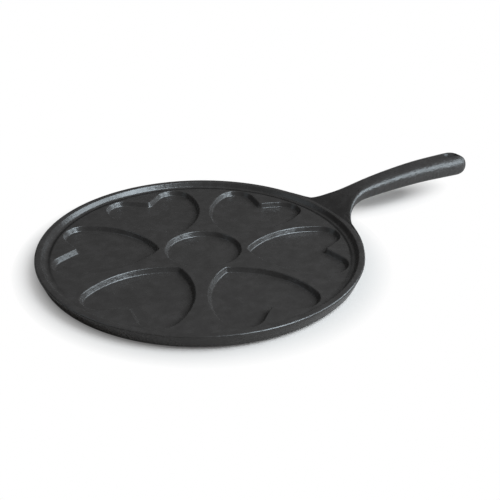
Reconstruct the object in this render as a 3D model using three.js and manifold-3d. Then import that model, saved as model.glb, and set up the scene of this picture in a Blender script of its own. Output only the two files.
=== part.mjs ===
// A cast iron pan for heart-shaped pancakes: a flat round plate with six heart recesses around
// a round one, a low rim and a rising handle with a long hang hole.
// Millimetres, +Z up. The pan stands on z = 0, the origin is the centre of its underside and the
// handle runs along +X, midway between two hearts.

import * as THREE from "three";
import { mergeVertices } from "three/addons/utils/BufferGeometryUtils.js";
import Module from "manifold-3d";

const wasm = await Module();
wasm.setup();

// Heart recesses, measured at the land. A reach runs outwards from the tip along the heart's axis.
const heartCount = 6;
const lobeRadius = 15;
const lobeGap = 14; // between the two lobe circles
const lobeReach = 58.7; // from the tip to the line through the lobe centres
const cleftLead = 1.5; // the cleft lies this far outside that line
const sideEase = 23.1; // flank radius above the tightest arc that joins tip and lobe
const recessDepth = 4;
const recessDraft = 2; // how far a recess wall leans in on its way down

// Land between the recesses.
const heartWeb = 8.3; // between neighbouring hearts
const tipLand = 4; // between a heart's tip and the centre recess
const outerLand = 3.9; // between a heart's lobe and the foot of the rim

// Plate, rim and underside.
const floorThickness = 4; // iron under the recesses
const rimHeight = 4; // crest above the land
const rimWidth = 7.5; // from the foot of the inner wall to the widest circle
const crestWidth = 4.6; // from the inner top edge to the widest circle
const crestRound = 1.5;
const sideLean = 1.8; // how far the outer side draws in on its way down
const sideRound = 2;
const baseInset = 12; // from the widest circle to the disc that the pan stands on
const baseRound = 2;

// Handle. An out runs from the widest circle of the rim, a rise from the height of its crest.
const webIn = 2; // the web leaves the crest this far inside the widest circle
const webThickness = 5.8;
const rootFillet = 33; // plan radius between the rim and the handle's flanks
const kneeOut = 10;
const kneeRise = 4.7;
const kneeThickness = 6.6;
const neckOut = 30;
const neckRise = 10.4;
const neckWidth = 18.6;
const neckThickness = 11.2;
const crownOut = 85;
const crownRise = 14.5;
const crownWidth = 22.6;
const crownThickness = 15;
const palmOut = 128;
const palmRise = 14.2;
const palmWidth = 26.4;
const palmThickness = 17.2;
const tipOut = 149.5;
const tipRise = 13.3;
const tipRound = 13.5;
const hangSlotWidth = 7;
const hangSlotLength = 16.5; // over its round ends
const hangSlotInset = 4.8; // from the tip to the slot

// Fit and making.
const castingGap = 0.3; // between the handle and the curved side that carries it
const overrun = 3; // how far a cutter passes a face
const mergeDistance = 0.001;

// Section exponents: 2 is an ellipse, a larger one is squarer.
const webSquareness = 3.2;
const gripSquareness = 2.3;
const tipSquareness = 2.5; // of the tip's rounding, along the handle
const poleShare = 0.995; // the last ring of the rounded tip, as a share of its length

// Numbers of facets.
const turnSegments = 96;
const profileSegments = 2; // half the facets of an arc in a turned profile
const outlineSegments = 6; // half the facets of an arc in a recess outline
const sectionSides = 28;
const rootSteps = 16;
const gripSteps = 18;
const tipSteps = 8;
const slotSegments = 12; // half the facets of a round end

// Heights and radii that follow from the sizes above.
const lobeSide = lobeGap / 2 + lobeRadius;
const landHeight = floorThickness + recessDepth;
const panHeight = landHeight + rimHeight;
const flank = heartFlank();
const tipRadius = heartTipRadius();
const centreRecessRadius = tipRadius - tipLand;
const landRadius = Math.hypot(tipRadius + lobeReach, lobeSide) + lobeRadius + outerLand;
const rimRadius = landRadius + rimWidth;
const baseRadius = rimRadius - baseInset;
const neckX = rimRadius + neckOut;
const tipX = rimRadius + tipOut;

// The circle of the heart's side, which passes through the tip at (0, 0) and holds the lobe's
// circle inside it, touching it where the two arcs meet.
function heartFlank() {
  const tipToLobe = Math.hypot(lobeReach, lobeSide);
  const radius = (tipToLobe + lobeRadius) / 2 + sideEase;
  const toLobe = radius - lobeRadius;
  const along = (radius ** 2 - toLobe ** 2 + tipToLobe ** 2) / (2 * tipToLobe);
  const aside = Math.sqrt(radius ** 2 - along ** 2);
  return {
    radius,
    x: (lobeReach * along + lobeSide * aside) / tipToLobe,
    y: (lobeSide * along - lobeReach * aside) / tipToLobe,
  };
}

// How far from the pan's centre a tip lies when neighbouring hearts keep their web.
function heartTipRadius() {
  const half = Math.PI / heartCount;
  const fromBisector = flank.radius + heartWeb / 2;
  return (fromBisector + flank.y * Math.cos(half)) / Math.sin(half) - flank.x;
}

// The heart's outline with its tip inwards on the X axis, drawn in by inset on every side.
function heartShape(inset) {
  const lobe = new THREE.Vector2(tipRadius + lobeReach, lobeSide);
  const side = new THREE.Vector2(tipRadius + flank.x, flank.y);
  const sideRadius = flank.radius - inset;
  const lobeArc = lobeRadius - inset;
  const cleft = new THREE.Vector2(lobe.x + cleftLead, 0);
  const toLobe = lobe.clone().sub(cleft);
  const cleftAngle = toLobe.angle() - Math.asin(lobeRadius / toLobe.length());
  const cleftX = cleft.x - inset / Math.sin(cleftAngle);
  const tipAngle = Math.PI - Math.asin(-side.y / sideRadius);
  const joinAngle = lobe.clone().sub(side).angle();
  const flankAngle = cleftAngle - Math.PI / 2;
  const shape = new THREE.Shape();
  shape.absarc(lobe.x, lobe.y, lobeArc, flankAngle, joinAngle, false);
  shape.absarc(side.x, side.y, sideRadius, joinAngle, tipAngle, false);
  shape.absarc(side.x, -side.y, sideRadius, -tipAngle, -joinAngle, false);
  shape.absarc(lobe.x, -lobe.y, lobeArc, -joinAngle, -flankAngle, false);
  shape.lineTo(cleftX, 0);
  return shape;
}

// manifold-3d solid of a closed three.js geometry.
function solidOf(geometry) {
  geometry.deleteAttribute("normal");
  geometry.deleteAttribute("uv");
  const merged = mergeVertices(geometry, mergeDistance);
  return new wasm.Manifold(
    new wasm.Mesh({
      numProp: 3,
      vertProperties: merged.attributes.position.array,
      triVerts: merged.index.array,
    }),
  );
}

// three.js geometry of a manifold-3d solid.
function geometryOf(solid) {
  const { vertProperties, triVerts } = solid.getMesh();
  const geometry = new THREE.BufferGeometry();
  geometry.setAttribute("position", new THREE.BufferAttribute(vertProperties, 3));
  geometry.setIndex(new THREE.BufferAttribute(triVerts, 1));
  geometry.computeVertexNormals();
  return geometry;
}

// A solid of revolution about +Z from a path of radius and height.
function turned(path) {
  return new THREE.LatheGeometry(path.getPoints(profileSegments), turnSegments).rotateX(Math.PI / 2);
}

// Radius of the outer side at a height between the plate's underside and the crest's rounding.
function sideRadiusAt(height) {
  const top = panHeight - crestRound;
  return rimRadius - (sideLean * (top - height)) / (top - floorThickness);
}

// The disc that the pan stands on. Its top is the floor of every recess.
function baseDisc() {
  const profile = new THREE.Path();
  profile.moveTo(0, 0);
  profile.lineTo(baseRadius - baseRound, 0);
  profile.absarc(baseRadius - baseRound, baseRound, baseRound, -Math.PI / 2, 0, false);
  profile.lineTo(baseRadius, floorThickness);
  profile.lineTo(0, floorThickness);
  return turned(profile);
}

// A cutter for one heart, whose walls lean out on their way up from the floor through the land.
function heartCutter() {
  const lean = recessDraft / recessDepth;
  const cutter = new THREE.ExtrudeGeometry(heartShape(recessDraft + lean * overrun), {
    depth: overrun,
    steps: 1,
    curveSegments: outlineSegments,
    bevelThickness: recessDepth + 2 * overrun,
    bevelSize: recessDraft + 2 * lean * overrun,
    bevelSegments: 1,
  });
  return cutter.translate(0, 0, landHeight + overrun);
}

// The cutter for the round centre recess, with the same lean.
function centreCutter() {
  const lean = recessDraft / recessDepth;
  const low = floorThickness - overrun;
  const high = landHeight + overrun;
  const profile = new THREE.Path();
  profile.moveTo(0, low);
  profile.lineTo(centreRecessRadius - lean * (landHeight - low), low);
  profile.lineTo(centreRecessRadius + lean * (high - landHeight), high);
  profile.lineTo(0, high);
  return turned(profile);
}

// The plate that carries the land, with its seven recesses cut right through to the disc below.
function mouldPlate() {
  const profile = new THREE.Path();
  const lowCorner = sideRadiusAt(floorThickness + sideRound) - sideRound;
  profile.moveTo(0, floorThickness);
  profile.lineTo(lowCorner, floorThickness);
  profile.absarc(lowCorner, floorThickness + sideRound, sideRound, -Math.PI / 2, 0, false);
  profile.lineTo(sideRadiusAt(landHeight), landHeight);
  profile.lineTo(0, landHeight);
  let plate = solidOf(turned(profile));
  for (let i = 0; i < heartCount; i++) {
    const turn = ((i + 1 / 2) * 2 * Math.PI) / heartCount;
    plate = plate.subtract(solidOf(heartCutter().rotateZ(turn)));
  }
  return geometryOf(plate.subtract(solidOf(centreCutter())));
}

// The raised ring on the land: sloped inner wall, flat crest with a rounded outer edge.
function rim() {
  const profile = new THREE.Path();
  const crestCorner = rimRadius - crestRound;
  profile.moveTo(landRadius, landHeight);
  profile.lineTo(sideRadiusAt(landHeight), landHeight);
  profile.lineTo(rimRadius, panHeight - crestRound);
  profile.absarc(crestCorner, panHeight - crestRound, crestRound, 0, Math.PI / 2, false);
  profile.lineTo(rimRadius - crestWidth, panHeight);
  profile.lineTo(landRadius, landHeight);
  return turned(profile);
}

// Height of the middle, half width, half thickness and squareness of the handle's sections along X.
function handleLine() {
  const web = [panHeight - webThickness / 2, neckWidth / 2, webThickness / 2, webSquareness];
  const knee = [panHeight + kneeRise, neckWidth / 2, kneeThickness / 2, webSquareness];
  const neck = [panHeight + neckRise, neckWidth / 2, neckThickness / 2, gripSquareness];
  const crown = [panHeight + crownRise, crownWidth / 2, crownThickness / 2, gripSquareness];
  const palm = [panHeight + palmRise, palmWidth / 2, palmThickness / 2, gripSquareness];
  const tip = [panHeight + tipRise, palmWidth / 2, palmThickness / 2, gripSquareness];
  const outs = [-webIn, kneeOut, neckOut, crownOut, palmOut, tipOut];
  const places = outs.map((out) => rimRadius + out);
  const values = [web, knee, neck, crown, palm, tip].flat();
  return new THREE.CubicInterpolant(places, values, web.length);
}

// Where the fillet between the rim and the handle starts on the rim and ends on the handle.
function filletSpan() {
  const centreY = neckWidth / 2 + rootFillet;
  const centreX = Math.sqrt((rimRadius + rootFillet) ** 2 - centreY ** 2);
  return { start: (centreX * rimRadius) / (rimRadius + rootFillet), end: centreX };
}

// What the fillet adds to the handle's half width at x.
function flareAt(x) {
  const before = Math.max(filletSpan().end - x, 0);
  return rootFillet - Math.sqrt(rootFillet ** 2 - before ** 2);
}

// How much of a section is left at x, where the end of the handle rounds off.
function roundingAt(x) {
  const past = Math.max(x - (tipX - tipRound), 0);
  return (1 - (past / tipRound) ** tipSquareness) ** (1 / tipSquareness);
}

// A closed bar through the handle's sections at the given places along X.
function handleBar(places) {
  const line = handleLine();
  const bar = new THREE.CylinderGeometry(1, 1, 1, sectionSides, places.length - 1);
  const position = bar.attributes.position;
  for (let i = 0; i < position.count; i++) {
    const step = Math.round((1 / 2 - position.getY(i)) * (places.length - 1));
    const x = places[step];
    const [middle, halfWidth, halfThickness, squareness] = line.evaluate(x);
    const reach = Math.hypot(position.getX(i), position.getZ(i));
    const turn = Math.atan2(position.getZ(i), position.getX(i));
    const bend = (value) => Math.sign(value) * Math.abs(value) ** (2 / squareness);
    const across = reach * roundingAt(x) * (halfWidth + flareAt(x));
    const up = reach * roundingAt(x) * halfThickness;
    position.setXYZ(i, x, across * bend(Math.cos(turn)), middle + up * bend(Math.sin(turn)));
  }
  return bar;
}

// Places from one x to another, both included.
function spread(from, to, steps) {
  return Array.from({ length: steps + 1 }, (_, i) => from + ((to - from) * i) / steps);
}

// The flat flared web that rises from the rim, cut to stand clear of the pan's curved side.
function handleRoot() {
  const profile = new THREE.Path();
  profile.moveTo(0, -overrun);
  profile.lineTo(sideRadiusAt(-overrun) + castingGap, -overrun);
  profile.lineTo(rimRadius + castingGap, panHeight - crestRound);
  profile.lineTo(rimRadius + castingGap, panHeight + neckRise);
  profile.lineTo(0, panHeight + neckRise);
  const bar = solidOf(handleBar(spread(filletSpan().start, neckX, rootSteps)));
  return geometryOf(bar.subtract(solidOf(turned(profile))));
}

// The oval grip, which swells towards its rounded end and has a hole to hang it by.
function handleGrip() {
  const body = spread(neckX, tipX - tipRound, gripSteps);
  const rings = spread(0, Math.asin(poleShare), tipSteps).slice(1);
  const tip = rings.map((turn) => tipX - tipRound + tipRound * Math.sin(turn));
  const end = hangSlotWidth / 2;
  const outline = new THREE.Shape();
  outline.absarc(tipX - hangSlotInset - end, 0, end, -Math.PI / 2, Math.PI / 2, false);
  outline.absarc(tipX - hangSlotInset - hangSlotLength + end, 0, end, Math.PI / 2, -Math.PI / 2, false);
  const slot = new THREE.ExtrudeGeometry(outline, {
    depth: 2 * (crownRise + palmThickness),
    bevelEnabled: false,
    curveSegments: slotSegments,
  });
  return geometryOf(solidOf(handleBar([...body, ...tip])).subtract(solidOf(slot)));
}

const iron = { color: 0x2c2d2f, roughness: 0.55, metalness: 0.5 };
const groundIron = { color: 0x343537, roughness: 0.5, metalness: 0.5 };

function part(name, geometry, finish) {
  const mesh = new THREE.Mesh(geometry, new THREE.MeshStandardMaterial(finish));
  mesh.name = name;
  return mesh;
}

const pan = new THREE.Group();
pan.add(part("base_disc", baseDisc(), iron));
pan.add(part("mould_plate", mouldPlate(), iron));
pan.add(part("rim", rim(), groundIron));
pan.add(part("handle_root", handleRoot(), iron));
pan.add(part("handle_grip", handleGrip(), groundIron));

export default pan;
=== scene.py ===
import math

import bmesh
import bpy
from mathutils import Matrix, Vector


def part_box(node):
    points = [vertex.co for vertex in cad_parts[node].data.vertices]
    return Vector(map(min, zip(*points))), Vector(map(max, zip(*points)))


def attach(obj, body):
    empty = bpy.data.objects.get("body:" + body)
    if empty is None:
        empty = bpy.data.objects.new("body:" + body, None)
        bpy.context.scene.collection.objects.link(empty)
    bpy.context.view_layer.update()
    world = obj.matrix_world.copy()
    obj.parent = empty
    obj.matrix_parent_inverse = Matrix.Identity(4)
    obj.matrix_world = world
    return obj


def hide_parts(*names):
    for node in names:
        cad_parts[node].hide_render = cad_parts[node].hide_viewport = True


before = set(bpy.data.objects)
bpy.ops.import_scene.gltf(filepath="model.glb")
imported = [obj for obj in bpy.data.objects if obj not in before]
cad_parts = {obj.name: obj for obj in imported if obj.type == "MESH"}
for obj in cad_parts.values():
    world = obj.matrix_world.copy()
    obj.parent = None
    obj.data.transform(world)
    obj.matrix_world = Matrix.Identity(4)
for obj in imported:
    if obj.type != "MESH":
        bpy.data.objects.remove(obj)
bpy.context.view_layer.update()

bl_info = {
    "name": "Heart Pancake Pan",
    "version": (1, 0, 0),
    "blender": (4, 5, 0),
    "location": "3D View > Sidebar > Pan",
    "description": "Casts a round iron pancake pan with heart recesses and a rising handle",
    "category": "Add Mesh",
}

# The frame's own sizes, in metres. The pan stands on z = 0 and its handle runs along +X.
disc_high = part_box("base_disc")[1]
plate_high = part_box("mould_plate")[1]
rim_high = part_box("rim")[1]
grip_low, grip_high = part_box("handle_grip")

DISC_RADIUS = disc_high.x
FLOOR_HEIGHT = disc_high.z
LAND_HEIGHT = plate_high.z
CREST_HEIGHT = rim_high.z
RIM_RADIUS = rim_high.x
NECK_X = grip_low.x
TIP_X = grip_high.x

CENTRE = Vector((0, 0, 0))
UP = Vector((0, 0, 1))
IRON = "Sand-cast seasoned iron"

# A turn about this axis carries a profile's +X towards its +Z.
PROFILE_AXIS = Vector((0, -1, 0))

# How finely the meshes are cut.
TURN_STEPS = 240
ARC_STEP = math.radians(9)
OUTLINE_STEP = math.radians(4)
SHARP_ANGLE = math.radians(35)
MERGE_DISTANCE = 0.00001
SMOOTH_LEVELS = 2

# Width of the flat strip round each recess, as a share of the strip that the rounded edge takes.
SUPPORT_SHARE = 2 / 3

# The handle's rings: how many there are on each stretch, and how each one is drawn.
TAIL_RINGS = 5
WEB_RINGS = 12
GRIP_RINGS = 14
TIP_RINGS = 8
TIP_TURN = math.radians(84)
CORNER_SEGMENTS = 4
FLAT_CUTS = 5
SLANT_STEP = 0.0002
MOST_SLANT = 9

# Half the height of the hang hole's cutter, before its mouths follow the handle's faces.
CUTTER_REACH = 0.02

# Where in the noise the patches and the pits begin, and where they are full.
MOTTLE_RANGE = (0.35, 0.68)
PIT_RANGE = (0.30, 0.62)

# Where the painted highlight by the hang hole and the handle's shadow have faded out,
# and where the shadow is full, each as a share of its own size.
MARK_END_SHARE = 1.6
SHADE_END_SHARE = 1.6
SHADE_FULL_SHARE = 0.5

# The settings of each soft box, in the order in which it is hung.
LAMP_SETTINGS = ("heading", "rise", "width", "height", "power")

# The Mix node's colour sockets, which share their names with its other sockets.
UNDER_COLOUR = 6
OVER_COLOUR = 7
MIXED_COLOUR = 2


def length(name, description, default):
    return bpy.props.FloatProperty(
        name=name, description=description, default=default, unit="LENGTH", precision=5
    )


def angle(name, description, default):
    return bpy.props.FloatProperty(
        name=name, description=description, default=math.radians(default), unit="ROTATION"
    )


def power(name, description, default):
    return bpy.props.FloatProperty(
        name=name, description=description, default=default, unit="POWER"
    )


def share(name, description, default):
    return bpy.props.FloatProperty(
        name=name, description=description, default=default, subtype="FACTOR", min=0, max=1
    )


def colour(name, description, default):
    return bpy.props.FloatVectorProperty(
        name=name, description=description, default=default, subtype="COLOR", size=3, min=0, max=1
    )


class PlateSizes(bpy.types.PropertyGroup):
    heart_count: bpy.props.IntProperty(
        name="Hearts", description="Heart recesses around the round one", default=6, min=3
    )
    lobe_radius: length("Lobe radius", "Radius of a heart's lobe at the land", 0.015)
    lobe_gap: length("Lobe gap", "Distance between a heart's two lobe circles", 0.014)
    lobe_reach: length("Lobe reach", "From the tip to the line of the lobe centres", 0.0587)
    cleft_lead: length("Cleft lead", "How far the cleft lies outside that line", 0.0015)
    side_ease: length("Side ease", "Flank radius above the tightest possible one", 0.0231)
    tip_round: length("Tip round", "Radius of the heart's tip in plan", 0.0035)
    cleft_round: length("Cleft round", "Radius of the land's nose in the cleft", 0.0018)
    heart_web: length("Heart web", "Land between neighbouring hearts", 0.0083)
    tip_land: length("Tip land", "Land between a heart's tip and the round recess", 0.004)
    draft: length("Draft", "How far a recess wall leans in on its way down", 0.0019)
    edge_round: length("Edge round", "Radius between the land and a recess wall", 0.0011)
    foot_round: length("Foot round", "Radius between a recess wall and its floor", 0.0013)
    disc_round: length("Disc round", "Radius of the lower edge that the pan stands on", 0.002)
    disc_fillet: length("Disc fillet", "Radius between the disc and the plate's underside", 0.0019)


class RimSizes(bpy.types.PropertyGroup):
    width: length("Width", "From the foot of the inner wall to the widest circle", 0.0069)
    crest_width: length("Crest width", "From the inner top edge to the widest circle", 0.0046)
    crest_round: length("Crest round", "Radius of the outer top edge", 0.0013)
    inner_round: length("Inner round", "Radius of the inner top edge", 0.0012)
    foot_round: length("Foot round", "Radius between the inner wall and the land", 0.0020)
    side_lean: angle("Side lean", "Lean of the outer side from upright", 21)
    side_round: length("Side round", "Radius of the plate's lower outer edge", 0.0015)
    hang: length("Hang", "How far the lower outer edge hangs below the recess floors", 0.002)


class HandleSizes(bpy.types.PropertyGroup):
    root_fillet: length("Root fillet", "Plan radius between the rim and the flanks", 0.033)
    root_in: length("Root in", "How far inside the widest circle the web starts", 0.0024)
    root_dip: length("Root dip", "How far under the crest the web starts", 0.0004)
    root_swell: length("Root swell", "How proud of the rim the flanks' fillets end", 0.0018)
    tail_reach: length("Tail reach", "How far the fillets run out along the rim", 0.110)
    tail_from: length("Tail from", "How far from the middle the web starts to sink", 0.011)
    tail_run: length("Tail run", "Length over which the web sinks", 0.026)
    tail_drop: length("Tail drop", "How far the top of the web's tails sinks", 0.0025)
    web_thickness: length("Web thickness", "Thickness of the web at the rim", 0.0058)
    knee_out: length("Knee out", "From the rim to the web's knee", 0.010)
    knee_rise: length("Knee rise", "Height of the knee's middle above the crest", 0.0047)
    knee_thickness: length("Knee thickness", "Thickness at the knee", 0.0066)
    neck_rise: length("Neck rise", "Height of the neck's middle above the crest", 0.0104)
    neck_width: length("Neck width", "Width of the neck", 0.0186)
    neck_thickness: length("Neck thickness", "Thickness of the neck", 0.0112)
    crown_out: length("Crown out", "From the rim to the top of the rise", 0.085)
    crown_rise: length("Crown rise", "Height of the crown's middle above the crest", 0.0145)
    crown_width: length("Crown width", "Width at the crown", 0.0226)
    crown_thickness: length("Crown thickness", "Thickness at the crown", 0.015)
    palm_out: length("Palm out", "From the rim to the widest place", 0.128)
    palm_rise: length("Palm rise", "Height of the palm's middle above the crest", 0.0142)
    palm_width: length("Palm width", "Width of the palm", 0.0262)
    palm_thickness: length("Palm thickness", "Thickness of the palm", 0.0172)
    tip_rise: length("Tip rise", "Height of the tip's middle above the crest", 0.0133)
    tip_width: length("Tip width", "Width of the tip before it rounds off", 0.0242)
    tip_thickness: length("Tip thickness", "Thickness of the tip before it rounds off", 0.0190)
    tip_round: length("Tip round", "Length over which the end rounds off", 0.0138)
    tip_squareness: bpy.props.FloatProperty(
        name="Tip squareness", description="2 rounds the end to an ellipse, more is fuller",
        default=2.4, min=2,
    )
    web_edge: length("Web edge", "Radius of the web's long edges", 0.0026)
    neck_edge: length("Neck edge", "Radius of the neck's long edges", 0.0046)
    palm_edge: length("Palm edge", "Radius of the palm's long edges", 0.0084)
    slot_width: length("Slot width", "Width of the hang hole", 0.007)
    slot_length: length("Slot length", "Length of the hang hole over its round ends", 0.0165)
    slot_inset: length("Slot inset", "From the tip to the hang hole", 0.0048)
    slot_round: length("Slot round", "Radius of the hang hole's edges", 0.0010)


class IronFinish(bpy.types.PropertyGroup):
    dark: colour("Dark", "Colour of the thickest seasoning", (0.0435, 0.0378, 0.0350))
    light: colour("Light", "Colour of the thin seasoning", (0.0650, 0.0568, 0.0530))
    mottle_size: length("Mottle size", "Size of the patches in the seasoning", 0.008)
    mottle_share: share("Mottle share", "How much of the colour follows the patches, not the grain", 0.55)
    grain_size: length("Grain size", "Size of the sand grains left by the mould", 0.0013)
    grain_depth: length("Grain depth", "Depth of the sand grain", 0.0003)
    pit_size: length("Pit size", "Size of the pits between the grains", 0.00338)
    pit_share: share("Pit share", "How much of the relief is pits, not grains", 0.4)
    pan_relief: share("Pan relief", "How much of the grain's depth the pan shows", 0.4)
    handle_relief: bpy.props.FloatProperty(
        name="Handle relief", description="How much of the grain's depth the handle shows",
        default=1.8, min=0,
    )
    # The dark line at the foot of the rim is painted shade in the crease between the rim and the land.
    foot_at: length("Foot at", "Radius of the dark line along the foot of the rim", 0.1103)
    foot_width: length("Foot width", "Half the width of that line", 0.0015)
    foot_heading: angle("Foot heading", "Side of the rim where that line is dark, from the handle", 61)
    foot_fade: share("Foot fade", "How far past the pan's middle that line fades out, in its radii", 0.6)
    foot_shade_depth: share("Foot dark", "How dark that line is", 0.85)
    # The light mark beside the hang hole is a painted highlight.
    mark: colour("Mark", "Colour of the worn mark beside the hang hole", (0.34, 0.34, 0.34))
    mark_at: bpy.props.FloatVectorProperty(
        name="Mark at", description="Middle of the worn mark", size=3, subtype="TRANSLATION",
        default=(0.2517, 0.0016, 0.034), precision=5,
    )
    mark_size: length("Mark size", "Radius of the worn mark", 0.0032)
    smooth: share("Smooth", "Roughness where hands and turners polish the iron", 0.20)
    rough: share("Rough", "Roughness of the untouched iron", 0.31)
    handle_rough: share("Handle rough", "How much rougher the handle is than the pan", 0.08)
    specular: share("Specular", "Strength of the gloss of the baked oil", 0.7)


class StageLook(bpy.types.PropertyGroup):
    floor_size: length("Floor size", "Width of the floor", 12)
    floor: share("Floor", "Grey of the floor that the camera sees", 0.80)
    bounce: share("Bounce", "Grey of the floor that lights the pan and mirrors in it", 0.42)
    floor_tint: colour("Floor tint", "Tint that answers the cool soft boxes", (1, 0.912, 0.858))
    handle_shade: share("Handle shade", "How much of the handle's shadow the floor keeps", 0.9)
    shade_at: bpy.props.FloatVectorProperty(
        name="Shade at", description="Middle of the handle's shadow", size=3, subtype="TRANSLATION",
        default=(0.190, 0.018, 0), precision=5,
    )
    shade_reach: bpy.props.FloatVectorProperty(
        name="Shade reach", description="Half length and half width of that shadow", size=2,
        subtype="TRANSLATION", default=(0.050, 0.020), precision=5,
    )
    floor_glow: share("Floor glow", "Faint light that the camera sees in the floor", 0.04)
    white_centre: bpy.props.FloatVectorProperty(
        name="White centre", description="Middle of the floor that keeps its shadow", size=3,
        subtype="TRANSLATION", default=(0.0045, 0.003, 0), precision=5,
    )
    white_from: length("White from", "How far from that middle the floor starts to fade to white", 0.1175)
    white_by: length("White by", "How far from that middle the floor is plain white", 0.1405)
    air: colour("Air", "Colour of the light from all round", (0.048, 0.0475, 0.047))
    lamp_colour: colour("Lamp colour", "Colour of the soft boxes", (0.80, 0.92, 1.0))
    lamp_distance: length("Lamp distance", "From the pan to the soft boxes", 1.6)
    key_power: power("Key power", "Power of the high soft box", 28)
    key_width: length("Key width", "Width of the high soft box", 0.8)
    key_height: length("Key height", "Height of the high soft box", 1.3)
    key_heading: angle("Key heading", "Direction of the high soft box, from the camera's right", -22)
    key_rise: angle("Key rise", "Elevation of the high soft box's middle", 48)
    side_power: power("Side power", "Power of the low soft box", 11)
    side_width: length("Side width", "Width of the low soft box", 1.0)
    side_height: length("Side height", "Height of the low soft box", 0.62)
    side_heading: angle("Side heading", "Direction of the low soft box, from the camera's right", 18)
    side_rise: angle("Side rise", "Elevation of the low soft box's middle", 27)
    fill_power: power("Fill power", "Power of the soft box on the camera's left", 1.2)
    fill_width: length("Fill width", "Width of the soft box on the camera's left", 0.9)
    fill_height: length("Fill height", "Height of the soft box on the camera's left", 0.9)
    fill_heading: angle("Fill heading", "Direction of that soft box, from the camera's right", 190)
    fill_rise: angle("Fill rise", "Elevation of that soft box's middle", 36)
    camera_at: bpy.props.FloatVectorProperty(
        name="Camera at", description="Place of the lens", size=3, subtype="TRANSLATION",
        default=(-0.23700, -0.43063, 0.27263), precision=5,
    )
    camera_heading: angle("Camera heading", "Direction of the view, from +Y", -35.5)
    camera_height: angle("Camera height", "How far the view looks down", 28.33)
    camera_roll: angle("Camera roll", "Turn of the camera about its view", 2.556)
    lens: bpy.props.FloatProperty(
        name="Lens", description="Focal length", default=53.71, unit="CAMERA"
    )
    shift: bpy.props.FloatProperty(
        name="Shift", description="Shift of the lens, in picture widths", default=-0.06
    )


# Modelling by hand. The drawing helpers work on the selection of the mesh that is open.


def open_piece(name):
    """Adds a plane as a new object and opens it for editing."""
    bpy.ops.object.select_all(action="DESELECT")
    bpy.ops.mesh.primitive_plane_add()
    piece = bpy.context.object
    piece.name = name
    piece.data.name = name
    bpy.ops.object.mode_set(mode="EDIT")
    bpy.ops.mesh.select_mode(type="VERT")
    return piece


def select_only(piece):
    bpy.ops.object.select_all(action="DESELECT")
    piece.select_set(True)
    bpy.context.view_layer.objects.active = piece


def open_mesh():
    return bmesh.from_edit_mesh(bpy.context.object.data)


def pick(kind, test):
    """Selects the vertices, edges or faces of the open mesh that pass the test."""
    bpy.ops.mesh.select_mode(type=kind)
    bpy.ops.mesh.select_all(action="DESELECT")
    mesh = open_mesh()
    elements = {"VERT": mesh.verts, "EDGE": mesh.edges, "FACE": mesh.faces}[kind]
    for element in elements:
        if test(element):
            element.select_set(True)
    mesh.select_flush_mode()
    bmesh.update_edit_mesh(bpy.context.object.data)


def start_line(at):
    """Shrinks the open primitive to one vertex, the start of a drawn line."""
    bpy.ops.mesh.select_all(action="SELECT")
    bpy.ops.mesh.merge(type="CENTER")
    bpy.ops.transform.translate(value=at)


def draw_line(step):
    bpy.ops.mesh.extrude_region_move(TRANSFORM_OT_translate={"value": step})


def draw_arc(centre, turn, axis, step_angle):
    """Carries the line on round a centre. With no window, spin turns clockwise about its axis."""
    steps = max(1, math.ceil(abs(turn) / step_angle))
    bpy.ops.mesh.spin(steps=steps, dupli=False, angle=turn, center=centre, axis=-axis)


def turn_round():
    """Spins the open profile into a closed solid about the pan's axis."""
    bpy.ops.mesh.select_all(action="SELECT")
    bpy.ops.mesh.spin(steps=TURN_STEPS, dupli=False, angle=math.tau, center=CENTRE, axis=UP)
    bpy.ops.mesh.select_all(action="SELECT")
    bpy.ops.mesh.remove_doubles(threshold=MERGE_DISTANCE)
    bpy.ops.mesh.normals_make_consistent(inside=False)


def close_piece(piece, node):
    """Smooths the finished mesh and hands it to the frame in place of its CAD node."""
    bpy.ops.object.mode_set(mode="OBJECT")
    select_only(piece)
    bpy.ops.object.shade_smooth_by_angle(angle=SHARP_ANGLE)
    piece.data.materials.clear()
    piece.data.materials.append(bpy.data.materials[IRON])
    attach(piece, "root")
    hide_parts(node)


# Shapes of the pan's round part.


def side_radius(height):
    """Radius of the leaning outer side, which is tangent to the crest's rounding."""
    rim = bpy.context.scene.rim_sizes
    centre_radius = RIM_RADIUS - rim.crest_round
    below_centre = CREST_HEIGHT - rim.crest_round - height
    lean = rim.side_lean
    return centre_radius + (rim.crest_round - below_centre * math.sin(lean)) / math.cos(lean)


def wall_slope():
    """Angle of a recess wall from level."""
    return math.atan2(LAND_HEIGHT - FLOOR_HEIGHT, bpy.context.scene.plate_sizes.draft)


def wall_profile():
    """Steps of (run, drop) from the land down a recess wall to its floor."""
    plate = bpy.context.scene.plate_sizes
    depth = LAND_HEIGHT - FLOOR_HEIGHT
    slope = wall_slope()
    steps = round(slope / ARC_STEP)
    turns = [slope * i / steps for i in range(steps + 1)]
    arc = [(math.sin(turn), 1 - math.cos(turn)) for turn in turns]
    run = plate.draft + (plate.edge_round + plate.foot_round) * math.tan(slope / 2)
    edge = [(plate.edge_round * x, plate.edge_round * y) for x, y in arc]
    foot = [(run - plate.foot_round * x, depth - plate.foot_round * y) for x, y in reversed(arc)]
    path = edge + foot
    return [(b[0] - a[0], b[1] - a[1]) for a, b in zip(path, path[1:])]


def edge_tangent():
    """How far outside the nominal outline the rounding of the land's edge starts."""
    return bpy.context.scene.plate_sizes.edge_round * math.tan(wall_slope() / 2)


def support_run():
    """Width of the flat strip that each outline keeps outside the rounding of the land's edge."""
    return SUPPORT_SHARE * edge_tangent()


def sink_recess():
    """Sinks the selected flat face to the floor along the wall's profile and opens it there."""
    bpy.ops.mesh.inset(thickness=support_run(), depth=0, use_even_offset=True)
    for run, drop in wall_profile():
        bpy.ops.mesh.inset(thickness=run, depth=-drop, use_even_offset=True)
    bpy.ops.mesh.delete(type="FACE")


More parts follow.
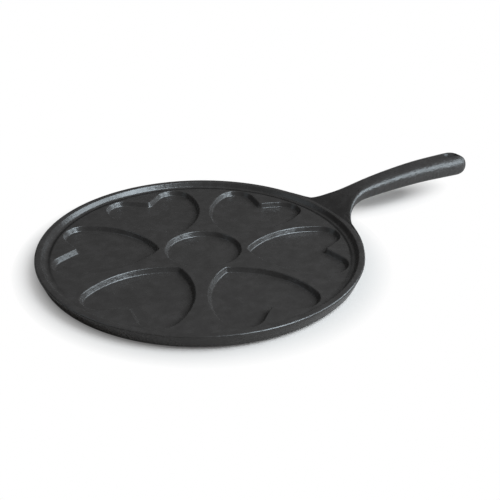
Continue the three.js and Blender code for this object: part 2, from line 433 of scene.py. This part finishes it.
def heart_flank():
    """Radius and centre of the heart's side, which runs from the tip at (0, 0) to the lobe."""
    plate = bpy.context.scene.plate_sizes
    lobe = Vector((plate.lobe_reach, plate.lobe_gap / 2 + plate.lobe_radius))
    radius = (lobe.length + plate.lobe_radius) / 2 + plate.side_ease
    to_lobe = radius - plate.lobe_radius
    along = (radius**2 - to_lobe**2 + lobe.length**2) / (2 * lobe.length)
    aside = math.sqrt(radius**2 - along**2)
    ahead = lobe.normalized()
    return radius, ahead * along + Vector((ahead.y, -ahead.x)) * aside


def tip_radius():
    """How far from the pan's centre the heart tips lie."""
    plate = bpy.context.scene.plate_sizes
    radius, centre = heart_flank()
    half = math.pi / plate.heart_count
    return ((radius + plate.heart_web / 2) + centre.y * math.cos(half)) / math.sin(half) - centre.x


def flat(point):
    return Vector((point.x, point.y, LAND_HEIGHT))


def heading(turn):
    return Vector((math.cos(turn), math.sin(turn)))


def heart_outline(outset):
    """Draws a heart at the land, its tip inwards on the X axis, outset on every side."""
    plate = bpy.context.scene.plate_sizes
    flank_radius, flank_centre = heart_flank()
    start = Vector((tip_radius(), 0))
    flank = start + flank_centre
    lobe = start + Vector((plate.lobe_reach, plate.lobe_gap / 2 + plate.lobe_radius))
    cleft = Vector((lobe.x + plate.cleft_lead, 0))

    tip_reach = math.sqrt((flank_radius - plate.tip_round) ** 2 - flank.y**2)
    tip = Vector((flank.x - tip_reach, 0))
    tip_angle = math.atan2(tip.y - flank.y, tip.x - flank.x)
    join_angle = math.atan2(lobe.y - flank.y, lobe.x - flank.x)
    to_lobe = lobe - cleft
    cleft_angle = math.atan2(to_lobe.y, to_lobe.x) - math.asin(plate.lobe_radius / to_lobe.length)
    lobe_end_angle = cleft_angle - math.pi / 2
    nose = cleft + Vector((plate.cleft_round / math.sin(cleft_angle), 0))
    nose_angle = cleft_angle + math.pi / 2
    lobe_end = lobe + (plate.lobe_radius + outset) * heading(lobe_end_angle)
    nose_start = nose + (plate.cleft_round - outset) * heading(nose_angle)

    start_line(flat(tip - Vector((plate.tip_round + outset, 0))))
    draw_arc(flat(tip), tip_angle - math.pi, UP, OUTLINE_STEP)
    draw_arc(flat(flank), join_angle - tip_angle, UP, OUTLINE_STEP / 2)
    draw_arc(flat(lobe), lobe_end_angle - join_angle, UP, OUTLINE_STEP)
    draw_line(flat(nose_start) - flat(lobe_end))
    draw_arc(flat(nose), math.pi - nose_angle, UP, OUTLINE_STEP)

    bpy.ops.mesh.select_all(action="SELECT")
    bpy.ops.mesh.duplicate()
    bpy.ops.transform.resize(value=(1, -1, 1), center_override=CENTRE)
    bpy.ops.mesh.select_all(action="SELECT")
    bpy.ops.mesh.remove_doubles(threshold=MERGE_DISTANCE)
    bpy.ops.mesh.edge_face_add()


def face_up():
    """Turns the selected flat face to look up."""
    if any(f.select and f.normal.z < 0 for f in open_mesh().faces):
        bpy.ops.mesh.flip_normals()


class CastDisc(bpy.types.Operator):
    """Casts the disc that the pan stands on, the floor of every recess"""

    bl_idname = "pan.cast_disc"
    bl_label = "Base Disc"

    def execute(self, context):
        plate = context.scene.plate_sizes
        piece = open_piece("disc_casting")
        foot = DISC_RADIUS - plate.disc_round
        corner = Vector((foot, 0, plate.disc_round))
        fillet = Vector((DISC_RADIUS + plate.disc_fillet, 0, FLOOR_HEIGHT - plate.disc_fillet))
        start_line(CENTRE)
        draw_line((foot, 0, 0))
        draw_arc(corner, math.pi / 2, PROFILE_AXIS, ARC_STEP)
        draw_line((0, 0, fillet.z - corner.z))
        draw_arc(fillet, -math.pi / 2, PROFILE_AXIS, ARC_STEP)
        draw_line((-fillet.x, 0, 0))
        turn_round()
        close_piece(piece, "base_disc")
        return {"FINISHED"}


class CastPlate(bpy.types.Operator):
    """Casts the plate with its land and its seven drafted, rounded recess walls"""

    bl_idname = "pan.cast_plate"
    bl_label = "Mould Plate"

    def execute(self, context):
        plate = context.scene.plate_sizes
        piece = open_piece("plate_casting")
        outset = edge_tangent() + support_run()
        heart_outline(outset)
        face_up()
        sink_recess()
        bpy.ops.mesh.select_all(action="SELECT")
        half_turn = math.pi / plate.heart_count
        bpy.ops.transform.rotate(value=half_turn, orient_axis="Z", center_override=CENTRE)
        copies = plate.heart_count - 1
        bpy.ops.mesh.spin(
            steps=copies, dupli=True, angle=2 * half_turn * copies, center=CENTRE, axis=UP
        )
        bpy.ops.mesh.select_all(action="DESELECT")
        bpy.ops.mesh.primitive_circle_add(
            vertices=TURN_STEPS // 2,
            radius=tip_radius() - plate.tip_land + outset,
            fill_type="NGON",
            location=(0, 0, LAND_HEIGHT),
        )
        face_up()
        sink_recess()
        self.cast_side()
        for height in (LAND_HEIGHT, FLOOR_HEIGHT):
            pick("EDGE", lambda e: self.is_open(e) and self.is_level(e, height))
            bpy.ops.mesh.fill(use_beauty=True)
        bpy.ops.mesh.select_all(action="SELECT")
        bpy.ops.mesh.normals_make_consistent(inside=False)
        close_piece(piece, "mould_plate")
        return {"FINISHED"}

    def is_open(self, edge):
        return len(edge.link_faces) < 2

    def is_level(self, edge, height):
        return all(abs(v.co.z - height) < MERGE_DISTANCE for v in edge.verts)

    def cast_side(self):
        """Runs the leaning outer side down from the land and rounds its lower edge."""
        rim = bpy.context.scene.rim_sizes
        lean = rim.side_lean
        centre_height = FLOOR_HEIGHT - rim.hang + rim.side_round
        centre_radius = side_radius(centre_height) - rim.side_round / math.cos(lean)
        curl = math.pi / 2 - lean
        steps = round(curl / ARC_STEP)
        points = [(side_radius(LAND_HEIGHT), LAND_HEIGHT)]
        for i in range(steps + 1):
            out = heading(-lean - curl * i / steps)
            points.append((centre_radius + rim.side_round * out.x, centre_height + rim.side_round * out.y))
        points.append((DISC_RADIUS + bpy.context.scene.plate_sizes.disc_fillet, FLOOR_HEIGHT))
        bpy.ops.mesh.select_all(action="DESELECT")
        bpy.ops.mesh.primitive_circle_add(
            vertices=TURN_STEPS, radius=points[0][0], fill_type="NOTHING", location=(0, 0, LAND_HEIGHT)
        )
        for (radius, height), (next_radius, next_height) in zip(points, points[1:]):
            draw_line((0, 0, next_height - height))
            scale = next_radius / radius
            bpy.ops.transform.resize(value=(scale, scale, 1), center_override=(0, 0, next_height))


class CastRim(bpy.types.Operator):
    """Casts the raised ring with its sloped inner wall and rounded crest"""

    bl_idname = "pan.cast_rim"
    bl_label = "Rim"

    def execute(self, context):
        rim = context.scene.rim_sizes
        piece = open_piece("rim_casting")
        foot_radius = RIM_RADIUS - rim.width
        lip_radius = RIM_RADIUS - rim.crest_width
        rise = math.atan2(CREST_HEIGHT - LAND_HEIGHT, lip_radius - foot_radius)
        foot_run = rim.foot_round * math.tan(rise / 2)
        lip_run = rim.inner_round * math.tan(rise / 2)
        foot = Vector((foot_radius - foot_run, 0, LAND_HEIGHT + rim.foot_round))
        lip = Vector((lip_radius + lip_run, 0, CREST_HEIGHT - rim.inner_round))
        crest = Vector((RIM_RADIUS - rim.crest_round, 0, CREST_HEIGHT - rim.crest_round))
        wall_start = foot + rim.foot_round * Vector((math.sin(rise), 0, -math.cos(rise)))
        wall_end = lip + rim.inner_round * Vector((-math.sin(rise), 0, math.cos(rise)))
        start_line((side_radius(LAND_HEIGHT), 0, LAND_HEIGHT))
        draw_line((foot.x - side_radius(LAND_HEIGHT), 0, 0))
        draw_arc(foot, rise, PROFILE_AXIS, ARC_STEP)
        draw_line(wall_end - wall_start)
        draw_arc(lip, -rise, PROFILE_AXIS, ARC_STEP)
        draw_line((crest.x - lip.x, 0, 0))
        draw_arc(crest, -(math.pi / 2 + rim.side_lean), PROFILE_AXIS, ARC_STEP)
        bpy.ops.mesh.select_all(action="SELECT")
        bpy.ops.mesh.edge_face_add()
        bpy.ops.mesh.delete(type="ONLY_FACE")
        turn_round()
        close_piece(piece, "rim")
        return {"FINISHED"}


def ease(along):
    """Goes from 0 to 1 with a level start and end."""
    along = min(max(along, 0), 1)
    return along**2 * (3 - 2 * along)


def tip_left(handle, x):
    """How much of a section is left at x, where the end of the handle rounds off."""
    past = max(x - (TIP_X - handle.tip_round), 0) / handle.tip_round
    return (1 - min(past, 1) ** handle.tip_squareness) ** (1 / handle.tip_squareness)


def handle_line(handle, x):
    """Middle height, half width, half thickness and edge radius of the handle at x."""
    crest = CREST_HEIGHT
    web_top = crest - handle.root_dip
    stations = [
        (-handle.root_in, web_top - handle.web_thickness / 2, handle.neck_width / 2,
         handle.web_thickness / 2, handle.web_edge),
        (handle.knee_out, crest + handle.knee_rise, handle.neck_width / 2,
         handle.knee_thickness / 2, handle.web_edge),
        (NECK_X - RIM_RADIUS, crest + handle.neck_rise, handle.neck_width / 2,
         handle.neck_thickness / 2, handle.neck_edge),
        (handle.crown_out, crest + handle.crown_rise, handle.crown_width / 2,
         handle.crown_thickness / 2, (handle.neck_edge + handle.palm_edge) / 2),
        (handle.palm_out, crest + handle.palm_rise, handle.palm_width / 2,
         handle.palm_thickness / 2, handle.palm_edge),
        (TIP_X - RIM_RADIUS, crest + handle.tip_rise, handle.tip_width / 2,
         handle.tip_thickness / 2, handle.palm_edge),
    ]
    return smooth_between(stations, x - RIM_RADIUS)


def smooth_between(stations, at):
    """Values at a place between stations of (place, value, value, ...), on a cubic through them."""
    last = len(stations) - 1
    i = max(k for k in range(last) if stations[k][0] <= at or k == 0)
    here, there = stations[i], stations[i + 1]
    gap = there[0] - here[0]
    t = (at - here[0]) / gap
    values = []
    for k in range(1, len(here)):
        step = (there[k] - here[k]) / gap
        before, after = step, step
        if i > 0:
            before = (there[k] - stations[i - 1][k]) / (there[0] - stations[i - 1][0])
        if i < last - 1:
            after = (stations[i + 2][k] - here[k]) / (stations[i + 2][0] - here[0])
        values.append(
            here[k] * (2 * t**3 - 3 * t**2 + 1)
            + there[k] * (3 * t**2 - 2 * t**3)
            + gap * before * (t**3 - 2 * t**2 + t)
            + gap * after * (t**3 - t**2)
        )
    return values


class CastHandle(bpy.types.Operator):
    """Casts the flared web and the oval grip as one bar and parts them at the neck"""

    bl_idname = "pan.cast_handle"
    bl_label = "Handle"

    def execute(self, context):
        handle = context.scene.handle_sizes
        piece = open_piece("grip_casting")
        bpy.ops.mesh.select_all(action="SELECT")
        bpy.ops.mesh.delete(type="VERT")
        places = self.places(handle)
        for place in places:
            self.add_ring(handle, place)
        for here, there in zip(places, places[1:]):
            pick("EDGE", lambda e: self.on_ring(e, here) or self.on_ring(e, there))
            bpy.ops.mesh.bridge_edge_loops()
        for end in (places[0], places[-1]):
            pick("EDGE", lambda e: self.on_ring(e, end))
            bpy.ops.mesh.edge_face_add()
        bpy.ops.mesh.select_all(action="SELECT")
        bpy.ops.mesh.normals_make_consistent(inside=False)
        bpy.ops.object.mode_set(mode="OBJECT")
        self.apply_modifier(piece, "SUBSURF", levels=SMOOTH_LEVELS, render_levels=SMOOTH_LEVELS)
        self.wrap_round_rim(piece, handle)
        self.drill(piece, handle)
        root = self.part(piece)
        close_piece(root, "handle_root")
        close_piece(piece, "handle_grip")
        return {"FINISHED"}

    def on_ring(self, edge, place):
        return all(abs(v.co.x - place) < MERGE_DISTANCE for v in edge.verts)

    def places(self, handle):
        """Where the rings stand along X: close together at the root and at the rounded end."""
        start = RIM_RADIUS - handle.root_in
        foot = RIM_RADIUS + handle.root_swell
        tail = [start + (foot - start) * i / TAIL_RINGS for i in range(TAIL_RINGS)]
        web = [foot + (NECK_X - foot) * (i / WEB_RINGS) ** 2 for i in range(WEB_RINGS)]
        straight_end = TIP_X - handle.tip_round
        grip = [NECK_X + (straight_end - NECK_X) * i / GRIP_RINGS for i in range(GRIP_RINGS + 1)]
        turns = [TIP_TURN * i / TIP_RINGS for i in range(1, TIP_RINGS + 1)]
        tip = [straight_end + handle.tip_round * math.sin(turn) for turn in turns]
        return tail + web + grip + tip

    def half_width(self, handle, x):
        """Half the arc across the handle, which swings out and runs on along the rim's side."""
        straight = handle_line(handle, x)[1]
        foot = RIM_RADIUS + handle.root_swell
        centre_y = handle.neck_width / 2 + handle.root_fillet
        centre_distance = foot + handle.root_fillet
        centre_angle = math.asin(centre_y / centre_distance)
        fillet_end = centre_distance * math.cos(centre_angle)
        if math.hypot(fillet_end, handle.neck_width / 2) <= x:
            return straight
        reach = max(x, foot)
        across = reach**2 + centre_distance**2 - handle.root_fillet**2
        opening = math.acos(min(across / (2 * reach * centre_distance), 1))
        tail = handle.tail_reach * (reach - x) / (handle.root_swell + handle.root_in)
        return x * (centre_angle - opening) + tail

    def flank_slant(self, handle, x):
        """How much longer than the way straight to the flank the way to it along the ring is."""
        if x > NECK_X:
            return 1
        ahead = self.half_width(handle, x + SLANT_STEP)
        slope = (ahead - self.half_width(handle, x)) / SLANT_STEP
        return min(math.hypot(1, slope), MOST_SLANT)

    def add_ring(self, handle, x):
        """Adds one rounded section of the handle to the open mesh."""
        middle, _, half_thickness, rounding = handle_line(handle, x)
        left = tip_left(handle, x)
        slant = self.flank_slant(handle, x)
        half_width = self.half_width(handle, x) * left
        half_thickness *= left
        centre = (x, 0, middle)
        bpy.ops.mesh.select_all(action="DESELECT")
        bpy.ops.mesh.primitive_plane_add(size=2, location=centre, rotation=(0, math.pi / 2, 0))
        bpy.ops.transform.resize(value=(1, half_width / slant, half_thickness), center_override=centre)
        bpy.ops.mesh.bevel(offset=rounding * left, segments=CORNER_SEGMENTS, profile=0.5, affect="VERTICES")
        bpy.ops.transform.resize(value=(1, slant, 1), center_override=centre)
        bpy.ops.mesh.delete(type="ONLY_FACE")
        level = half_thickness - MERGE_DISTANCE
        pick("EDGE", lambda e: self.on_ring(e, x) and all(abs(v.co.z - middle) > level for v in e.verts))
        bpy.ops.mesh.subdivide(number_cuts=FLAT_CUTS)

    def apply_modifier(self, piece, kind, **settings):
        """Adds a modifier, sets it and applies it."""
        select_only(piece)
        modifier = piece.modifiers.new(kind.lower(), kind)
        for setting, value in settings.items():
            setattr(modifier, setting, value)
        bpy.ops.object.modifier_apply(modifier=modifier.name)

    def wrap_round_rim(self, piece, handle):
        """Bends the sections into arcs about the pan's axis and sinks the web's tails at their top."""
        for vertex in piece.data.vertices:
            radius, arc, height = vertex.co
            middle, _, half_thickness, _ = handle_line(handle, radius)
            above_foot = height - (middle - half_thickness)
            level = above_foot / (2 * half_thickness)
            along = (abs(arc) - handle.tail_from) / handle.tail_run
            height -= handle.tail_drop * level * ease(along)
            turn = arc / radius
            vertex.co = (radius * math.cos(turn), radius * math.sin(turn), height)

    def drill(self, piece, handle):
        """Cuts the hang hole with a cutter whose ends flare to round the hole's edges."""
        radius = handle.slot_width / 2
        flare = handle.slot_round
        mouth = radius + flare
        cutter = open_piece("slot_cutter")
        start_line((radius, 0, flare - CUTTER_REACH))
        draw_line((0, 0, 2 * (CUTTER_REACH - flare)))
        draw_arc((mouth, 0, CUTTER_REACH - flare), -math.pi / 2, PROFILE_AXIS, ARC_STEP)
        draw_line((0, 0, flare))
        draw_line((-mouth, 0, 0))
        draw_line((0, 0, -2 * (CUTTER_REACH + flare)))
        draw_line((mouth, 0, 0))
        draw_line((0, 0, flare))
        draw_arc((mouth, 0, flare - CUTTER_REACH), -math.pi / 2, PROFILE_AXIS, ARC_STEP)
        turn_round()
        spread = handle.slot_length / 2 - radius
        for side in (-1, 1):
            pick("VERT", lambda v: side * v.co.x > MERGE_DISTANCE)
            bpy.ops.transform.translate(value=(side * spread, 0, 0))
        bpy.ops.mesh.select_all(action="SELECT")
        bpy.ops.transform.translate(value=(TIP_X - handle.slot_inset - handle.slot_length / 2, 0, 0))
        bpy.ops.object.mode_set(mode="OBJECT")
        for vertex in cutter.data.vertices:
            middle, _, half_thickness, _ = handle_line(handle, vertex.co.x)
            rise = half_thickness * tip_left(handle, vertex.co.x) - CUTTER_REACH
            vertex.co.z += middle + math.copysign(rise, vertex.co.z)
        self.apply_modifier(piece, "BOOLEAN", operation="DIFFERENCE", object=cutter, solver="EXACT")
        bpy.data.objects.remove(cutter)

    def part(self, piece):
        """Parts the root from the grip with a flat cut at the neck and returns the root."""
        select_only(piece)
        bpy.ops.object.duplicate()
        root = bpy.context.object
        root.name = root.data.name = "root_casting"
        for half, sides in ((root, {"clear_outer": True}), (piece, {"clear_inner": True})):
            select_only(half)
            bpy.ops.object.mode_set(mode="EDIT")
            bpy.ops.mesh.select_all(action="SELECT")
            bpy.ops.mesh.bisect(plane_co=(NECK_X, 0, 0), plane_no=(1, 0, 0), use_fill=True, **sides)
            bpy.ops.object.mode_set(mode="OBJECT")
        return root


# Materials.


class Wire:
    """A shader socket that takes part in Python sums."""

    def __init__(self, shader, socket):
        self.shader = shader
        self.socket = socket

    def maths(self, operation, first, second):
        settings = {"operation": operation}
        return self.shader.node("ShaderNodeMath", settings, {0: first, 1: second})["Value"]

    def __add__(self, other):
        return self.maths("ADD", self, other)

    def __radd__(self, other):
        return self.maths("ADD", other, self)

    def __sub__(self, other):
        return self.maths("SUBTRACT", self, other)

    def __rsub__(self, other):
        return self.maths("SUBTRACT", other, self)

    def __mul__(self, other):
        return self.maths("MULTIPLY", self, other)

    def __rmul__(self, other):
        return self.maths("MULTIPLY", other, self)


class Shader:
    """The nodes of one material or of the world."""

    def __init__(self, owner):
        self.owner = owner
        owner.use_nodes = True
        self.tree = owner.node_tree
        self.tree.nodes.clear()

    def node(self, kind, settings, inputs):
        """Adds a node, sets it, then fills its sockets with values or links; returns its outputs."""
        node = self.tree.nodes.new(kind)
        for name, value in settings.items():
            if name == "stops":
                for element, (place, grey) in zip(node.color_ramp.elements, value):
                    element.position = place
                    element.color = (grey, grey, grey, 1)
            else:
                setattr(node, name, value)
        for name, value in inputs.items():
            if isinstance(value, Wire):
                self.tree.links.new(value.socket, node.inputs[name])
            else:
                node.inputs[name].default_value = value
        return {output.name: Wire(self, output) for output in node.outputs}


def noise(shader, place, size, detail, roughness=0.5):
    """A smooth random value between 0 and 1 whose blobs have about the given size."""
    settings = {"noise_dimensions": "3D"}
    inputs = {"Vector": place, "Scale": 1 / size, "Detail": detail, "Roughness": roughness}
    return shader.node("ShaderNodeTexNoise", settings, inputs)["Fac"]


def ramp(shader, value, low, high):
    """A noise stretched so that low gives 0 and high gives 1."""
    settings = {"stops": [(low, 0), (high, 1)]}
    return shader.node("ShaderNodeValToRGB", settings, {"Fac": value})["Color"]


def stretch(shader, value, low, high):
    """A length stretched so that low gives 0 and high gives 1; low may be the larger."""
    inputs = {"Value": value, "From Min": low, "From Max": high}
    return shader.node("ShaderNodeMapRange", {}, inputs)["Result"]


def vectors(shader, operation, *values):
    """One step of vector maths; a length or a dot product gives a number."""
    outputs = shader.node("ShaderNodeVectorMath", {"operation": operation}, dict(enumerate(values)))
    return outputs["Value" if operation in ("LENGTH", "DOT_PRODUCT") else "Vector"]


def blend(shader, factor, under, over):
    """Mixes two colours by a factor."""
    inputs = {"Factor": factor, UNDER_COLOUR: under, OVER_COLOUR: over}
    outputs = shader.node("ShaderNodeMix", {"data_type": "RGBA"}, inputs)
    return Wire(shader, outputs["Result"].socket.node.outputs[MIXED_COLOUR])


def tint(shader, red, green, blue):
    """A colour from three numbers, each of which may be a link."""
    return shader.node("ShaderNodeCombineColor", {}, {"Red": red, "Green": green, "Blue": blue})["Color"]


def seasoned_iron(finish):
    """Sand-cast iron under baked oil: near black, finely grained, with a soft uneven gloss."""
    shader = Shader(bpy.data.materials.new(IRON))
    place = shader.node("ShaderNodeTexCoord", {}, {})["Object"]
    mottle = ramp(shader, noise(shader, place, finish.mottle_size, detail=5), *MOTTLE_RANGE)
    grain = noise(shader, place, finish.grain_size, detail=3, roughness=0.6)
    pits = ramp(shader, noise(shader, place, finish.pit_size, detail=2), *PIT_RANGE)
    tone = mottle * finish.mottle_share + grain * (1 - finish.mottle_share)
    base = blend(shader, tone, (*finish.dark, 1), (*finish.light, 1))
    # Painted shade at the foot of the rim.
    base = painted_foot_shade(shader, place, finish, base)
    # A painted highlight beside the hang hole.
    base = painted_glint(shader, place, finish, base)
    along = shader.node("ShaderNodeSeparateXYZ", {}, {"Vector": place})["X"]
    on_handle = stretch(shader, along, RIM_RADIUS, NECK_X)
    relief = finish.pan_relief + (finish.handle_relief - finish.pan_relief) * on_handle
    height = (grain * (1 - finish.pit_share) + pits * finish.pit_share) * relief
    inputs = {"Strength": 1.0, "Distance": finish.grain_depth, "Height": height}
    bump = shader.node("ShaderNodeBump", {}, inputs)
    rough = finish.smooth + (finish.rough - finish.smooth) * mottle + finish.handle_rough * on_handle
    inputs = {
        "Base Color": base,
        "Roughness": rough,
        "Metallic": 0.0,
        "Specular IOR Level": finish.specular,
        "Normal": bump["Normal"],
    }
    surface = shader.node("ShaderNodeBsdfPrincipled", {}, inputs)["BSDF"]
    shader.node("ShaderNodeOutputMaterial", {}, {"Surface": surface})


def painted_foot_shade(shader, place, finish, base):
    """Paints shade along the foot of the rim, on the side that foot_heading points to, fading out past the
    pan's middle.
    """
    radius = vectors(shader, "LENGTH", vectors(shader, "MULTIPLY", place, (1, 1, 0)))
    inside = stretch(shader, radius, finish.foot_at - finish.foot_width, finish.foot_at)
    outside = stretch(shader, radius, finish.foot_at + finish.foot_width, finish.foot_at)
    side = vectors(shader, "DOT_PRODUCT", place, (*heading(finish.foot_heading), 0))
    deep = stretch(shader, side, -finish.foot_fade * finish.foot_at, 0) * finish.foot_shade_depth
    return blend(shader, inside * outside * deep, base, (0, 0, 0, 1))


def painted_glint(shader, place, finish, base):
    """Paints a highlight beside the hang hole as a lighter patch in the iron's colour."""
    reach = vectors(shader, "LENGTH", vectors(shader, "SUBTRACT", place, finish.mark_at))
    edge = noise(shader, place, finish.mark_size / 2, detail=2) * finish.mark_size
    glinting = stretch(shader, reach + edge, MARK_END_SHARE * finish.mark_size, finish.mark_size)
    return blend(shader, glinting, base, (*finish.mark, 1))


def handle_shadow(shader, place, look):
    """1 in the middle of the handle's shadow, falling to 0 round it."""
    half_length, half_width = look.shade_reach
    offset = vectors(shader, "SUBTRACT", place, look.shade_at)
    scaled = vectors(shader, "MULTIPLY", offset, (1 / half_length, 1 / half_width, 0))
    return stretch(shader, vectors(shader, "LENGTH", scaled), SHADE_END_SHARE, SHADE_FULL_SHARE)


def pale_floor(look):
    """A matt floor that keeps the pan's shadow and fades to plain white for the camera."""
    shader = Shader(bpy.data.materials.new("pale_floor"))
    seen = shader.node("ShaderNodeLightPath", {}, {})["Is Camera Ray"]
    place = shader.node("ShaderNodeTexCoord", {}, {})["Object"]
    grey = look.bounce + (look.floor - look.bounce) * seen
    pale = tint(shader, *(grey * part for part in look.floor_tint))
    matt = shader.node("ShaderNodeBsdfDiffuse", {}, {"Color": pale})["BSDF"]
    glow = shader.node("ShaderNodeEmission", {}, {"Strength": look.floor_glow * seen})["Emission"]
    near = shader.node("ShaderNodeAddShader", {}, {0: matt, 1: glow})["Shader"]
    white = shader.node("ShaderNodeEmission", {}, {"Strength": 1.0})["Emission"]
    reach = vectors(shader, "LENGTH", vectors(shader, "SUBTRACT", place, look.white_centre))
    fade = seen * stretch(shader, reach, look.white_from, look.white_by)
    fade = fade * (1 - look.handle_shade * handle_shadow(shader, place, look))
    mixed = shader.node("ShaderNodeMixShader", {}, {0: fade, 1: near, 2: white})["Shader"]
    shader.node("ShaderNodeOutputMaterial", {}, {"Surface": mixed})
    return shader.owner


class MixIron(bpy.types.Operator):
    """Mixes the seasoned iron that every casting wears"""

    bl_idname = "pan.mix_iron"
    bl_label = "Seasoned Iron"

    def execute(self, context):
        seasoned_iron(context.scene.iron_finish)
        return {"FINISHED"}


class SetStage(bpy.types.Operator):
    """Sets the floor, the soft light and the camera"""

    bl_idname = "pan.set_stage"
    bl_label = "Stage"

    def execute(self, context):
        look = context.scene.stage_look
        context.scene.view_settings.view_transform = "Standard"
        self.lay_floor(look)
        for box in ("key", "side", "fill"):
            settings = [getattr(look, f"{box}_{setting}") for setting in LAMP_SETTINGS]
            self.hang_lamp(look, *settings)
        self.fill_air(context, look)
        self.place_camera(context, look)
        return {"FINISHED"}

    def lay_floor(self, look):
        bpy.ops.object.select_all(action="DESELECT")
        bpy.ops.mesh.primitive_plane_add(size=look.floor_size)
        floor = bpy.context.object
        floor.name = "floor"
        floor.data.materials.append(pale_floor(look))

    def hang_lamp(self, look, side, rise, width, height, power):
        """Hangs one soft box that faces the pan."""
        out = math.cos(rise) * heading(look.camera_heading + side)
        towards = Vector((out.x, out.y, math.sin(rise)))
        bpy.ops.object.light_add(type="AREA", location=look.lamp_distance * towards)
        lamp = bpy.context.object
        lamp.rotation_euler = towards.to_track_quat("Z", "Y").to_euler()
        lamp.data.shape = "RECTANGLE"
        lamp.data.size = width
        lamp.data.size_y = height
        lamp.data.energy = power
        lamp.data.color = look.lamp_colour

    def fill_air(self, context, look):
        """Fills the world with faint light, which the camera sees as plain white."""
        shader = Shader(bpy.data.worlds.new("air"))
        seen = shader.node("ShaderNodeLightPath", {}, {})["Is Camera Ray"]
        glow = tint(shader, *(part + (1 - part) * seen for part in look.air))
        air = shader.node("ShaderNodeBackground", {}, {"Color": glow})["Background"]
        shader.node("ShaderNodeOutputWorld", {}, {"Surface": air})
        context.scene.world = shader.owner

    def place_camera(self, context, look):
        bpy.ops.object.camera_add(location=look.camera_at)
        camera = bpy.context.object
        tilt = math.pi / 2 - look.camera_height
        turn = Matrix.Rotation(look.camera_heading, 4, "Z") @ Matrix.Rotation(tilt, 4, "X")
        turn = turn @ Matrix.Rotation(look.camera_roll, 4, "Z")
        camera.rotation_euler = turn.to_euler()
        camera.data.lens = look.lens
        camera.data.shift_x = look.shift
        context.scene.camera = camera


class PanPanel(bpy.types.Panel):
    """Lists the pan's castings and its stage"""

    bl_idname = "PAN_PT_castings"
    bl_label = "Pan"
    bl_space_type = "VIEW_3D"
    bl_region_type = "UI"
    bl_category = "Pan"

    def draw(self, context):
        for operator in OPERATORS:
            self.layout.operator(operator.bl_idname)


SETTINGS = {
    "plate_sizes": PlateSizes,
    "rim_sizes": RimSizes,
    "handle_sizes": HandleSizes,
    "iron_finish": IronFinish,
    "stage_look": StageLook,
}
OPERATORS = (MixIron, CastDisc, CastPlate, CastRim, CastHandle, SetStage)


def register():
    for kind in (*SETTINGS.values(), *OPERATORS, PanPanel):
        bpy.utils.register_class(kind)
    for name, kind in SETTINGS.items():
        setattr(bpy.types.Scene, name, bpy.props.PointerProperty(type=kind))


def unregister():
    for name in SETTINGS:
        delattr(bpy.types.Scene, name)
    for kind in reversed((*SETTINGS.values(), *OPERATORS, PanPanel)):
        bpy.utils.unregister_class(kind)


def main():
    register()
    bpy.ops.pan.mix_iron()
    bpy.ops.pan.cast_disc()
    bpy.ops.pan.cast_plate()
    bpy.ops.pan.cast_rim()
    bpy.ops.pan.cast_handle()
    bpy.ops.pan.set_stage()


if __name__ == "__main__":
    main()
